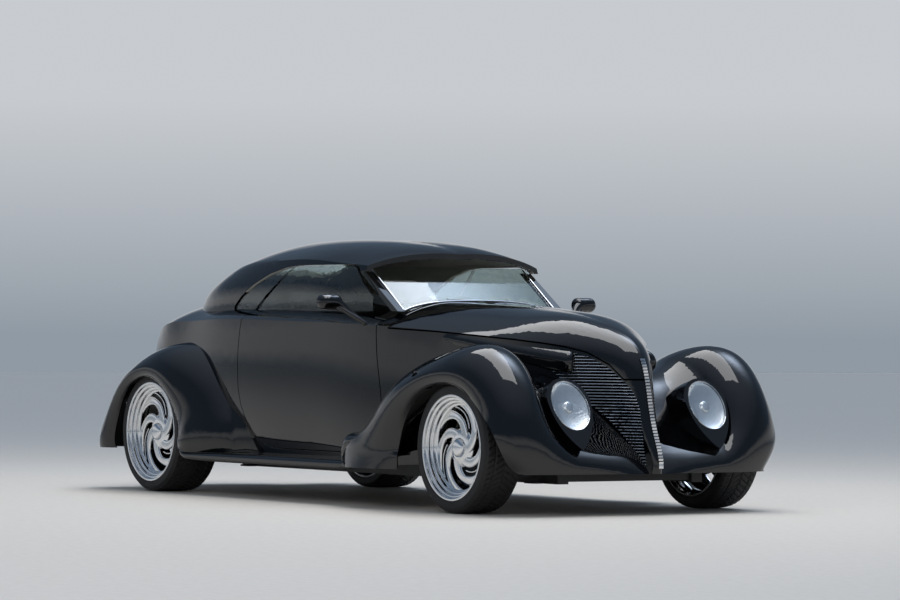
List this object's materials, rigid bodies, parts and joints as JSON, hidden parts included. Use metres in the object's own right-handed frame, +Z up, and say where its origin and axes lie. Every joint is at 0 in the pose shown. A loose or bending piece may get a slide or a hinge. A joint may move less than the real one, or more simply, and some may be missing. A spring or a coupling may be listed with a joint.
{
  "type": "hot rod",
  "caption": "Low gloss-black full-fendered hot rod coupe with a pointed barred grille, pod headlamps, chopped hard top, running boards and swirl-spoke wheels.",
  "frame": {"origin": "on the ground, at the centre of the car's length and width", "axes": "+X to the nose, +Y to the driver's left, +Z up"},
  "size_m": [4.1783, 1.7506, 1.2966],
  "materials": {
    "black_paint": "gloss black lacquer",
    "bright_metal": "polished bright metal",
    "tinted_glass": "dark tinted glass",
    "lens_glass": "clear lamp glass",
    "red_lens": "red lens",
    "polished_aluminium": "polished billet",
    "tyre_rubber": "low-profile road tyre",
    "chassis_paint": "satin black",
    "engine_metal": "cast metal",
    "exhaust_steel": "brushed steel",
    "seat_leather": "dark leather",
    "dash_paint": "satin black",
    "wheel_rim_plastic": "dark grip"
  },
  "bodies": {
    "body": {"grille_shell": "black_paint", "grille_bars": "bright_metal", "nose_strip": "bright_metal", "body_tub": "black_paint", "front_fender_right": "black_paint", "front_fender_left": "black_paint", "rear_fender_right": "black_paint", "rear_fender_left": "black_paint", "running_board_right": "black_paint", "running_board_left": "black_paint", "hard_top": "black_paint", "fixed_glass": "tinted_glass", "windscreen": "tinted_glass", "windscreen_frame": "black_paint", "headlight_pods": "black_paint", "headlight_lenses": "lens_glass", "tail_lamps": "red_lens", "front_suspension": "chassis_paint", "rear_axle": "chassis_paint", "chassis_frame": "chassis_paint", "floor_pan": "chassis_paint", "engine_block": "engine_metal", "seat": "seat_leather", "dashboard": "dash_paint", "exhaust": "exhaust_steel", "fuel_tank": "chassis_paint"},
    "hood": {"hood": "black_paint"},
    "door_right": {"door_right": "black_paint", "door_glass_right": "tinted_glass", "mirror_right": "black_paint"},
    "door_left": {"door_left": "black_paint", "door_glass_left": "tinted_glass", "mirror_left": "black_paint"},
    "deck_lid": {"deck_lid": "black_paint"},
    "knuckle_right": {"knuckle_right": "chassis_paint"},
    "knuckle_left": {"knuckle_left": "chassis_paint"},
    "steering_wheel": {"steering_wheel": "wheel_rim_plastic"},
    "wheel_front_right": {"rim_front_right": "polished_aluminium", "tyre_front_right": "tyre_rubber"},
    "wheel_front_left": {"rim_front_left": "polished_aluminium", "tyre_front_left": "tyre_rubber"},
    "wheel_rear_right": {"rim_rear_right": "polished_aluminium", "tyre_rear_right": "tyre_rubber"},
    "wheel_rear_left": {"rim_rear_left": "polished_aluminium", "tyre_rear_left": "tyre_rubber"}
  },
  "joints": [
    {"name": "steer_left", "type": "hinge", "parent": "body", "child": "knuckle_left", "pos_m": [1.53, 0.62, 0.302], "axis": [0, 0, 1], "range_deg": [-30, 30]},
    {"name": "steer_right", "type": "hinge", "parent": "body", "child": "knuckle_right", "pos_m": [1.53, -0.62, 0.302], "axis": [0, 0, 1], "range_deg": [-30, 30]},
    {"name": "steering_wheel_turn", "type": "hinge", "parent": "body", "child": "steering_wheel", "pos_m": [0.255, 0.33, 0.8], "axis": [0.821, 0, -0.571], "range_deg": [-420, 420]},
    {"name": "spin_front_left", "type": "hinge", "parent": "knuckle_left", "child": "wheel_front_left", "pos_m": [1.53, 0.68, 0.302], "axis": [0, 1, 0], "continuous": true},
    {"name": "spin_front_right", "type": "hinge", "parent": "knuckle_right", "child": "wheel_front_right", "pos_m": [1.53, -0.68, 0.302], "axis": [0, 1, 0], "continuous": true},
    {"name": "spin_rear_left", "type": "hinge", "parent": "body", "child": "wheel_rear_left", "pos_m": [-1.315, 0.655, 0.309], "axis": [0, 1, 0], "continuous": true},
    {"name": "spin_rear_right", "type": "hinge", "parent": "body", "child": "wheel_rear_right", "pos_m": [-1.315, -0.655, 0.309], "axis": [0, 1, 0], "continuous": true},
    {"name": "door_right_swing", "type": "hinge", "parent": "body", "child": "door_right", "pos_m": [0.6, -0.606, 0.6], "axis": [0, 0, 1], "range_deg": [0, 65]},
    {"name": "door_left_swing", "type": "hinge", "parent": "body", "child": "door_left", "pos_m": [0.6, 0.606, 0.6], "axis": [0, 0, -1], "range_deg": [0, 65]},
    {"name": "hood_lift", "type": "hinge", "parent": "body", "child": "hood", "pos_m": [0.6555, 0, 0.977], "axis": [0, -1, 0], "range_deg": [0, 60]},
    {"name": "deck_lid_lift", "type": "hinge", "parent": "body", "child": "deck_lid", "pos_m": [-1.5055, 0, 0.99], "axis": [0, 1, 0], "range_deg": [0, 60]}
  ],
  "couplings": [
    {"joint": "steer_right", "follows": "steer_left", "ratio": 1},
    {"joint": "steering_wheel_turn", "follows": "steer_left", "ratio": -14}
  ]
}
